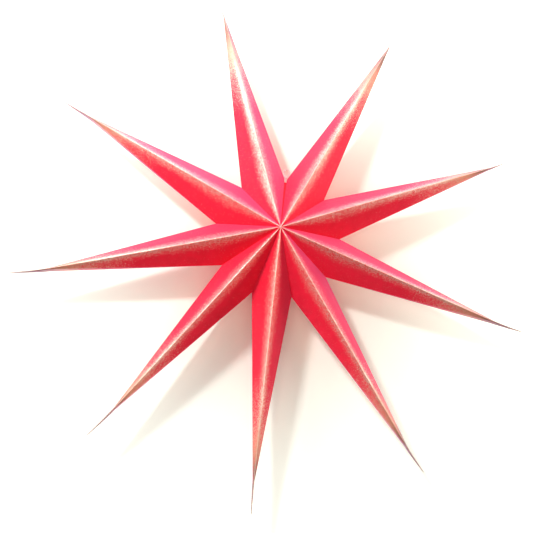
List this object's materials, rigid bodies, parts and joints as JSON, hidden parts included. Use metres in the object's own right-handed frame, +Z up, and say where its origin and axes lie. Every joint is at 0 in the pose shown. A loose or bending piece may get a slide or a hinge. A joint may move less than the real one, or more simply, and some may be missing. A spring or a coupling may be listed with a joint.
{
  "type": "folded paper star",
  "caption": "Hollow, double-sided star of folded card with long pointed rays glued along their valleys, hung from a thread loop as a decoration.",
  "frame": {"origin": "inside of the top of the hanging loop, where it rests on a nail", "axes": "+Z up as it hangs, the front faces -Y, +X to the viewer's right"},
  "size_m": [0.5586, 0.072, 0.5726],
  "materials": {
    "red_card": "matt red card with a speckled gold mist along the ridges and over the tips",
    "thread": "twisted white cotton thread"
  },
  "bodies": {
    "root": {"ray_1": "red_card", "ray_2": "red_card", "ray_3": "red_card", "ray_4": "red_card", "ray_5": "red_card", "ray_6": "red_card", "ray_7": "red_card", "ray_8": "red_card", "ray_9": "red_card", "hanging_loop": "thread"}
  },
  "joints": []
}
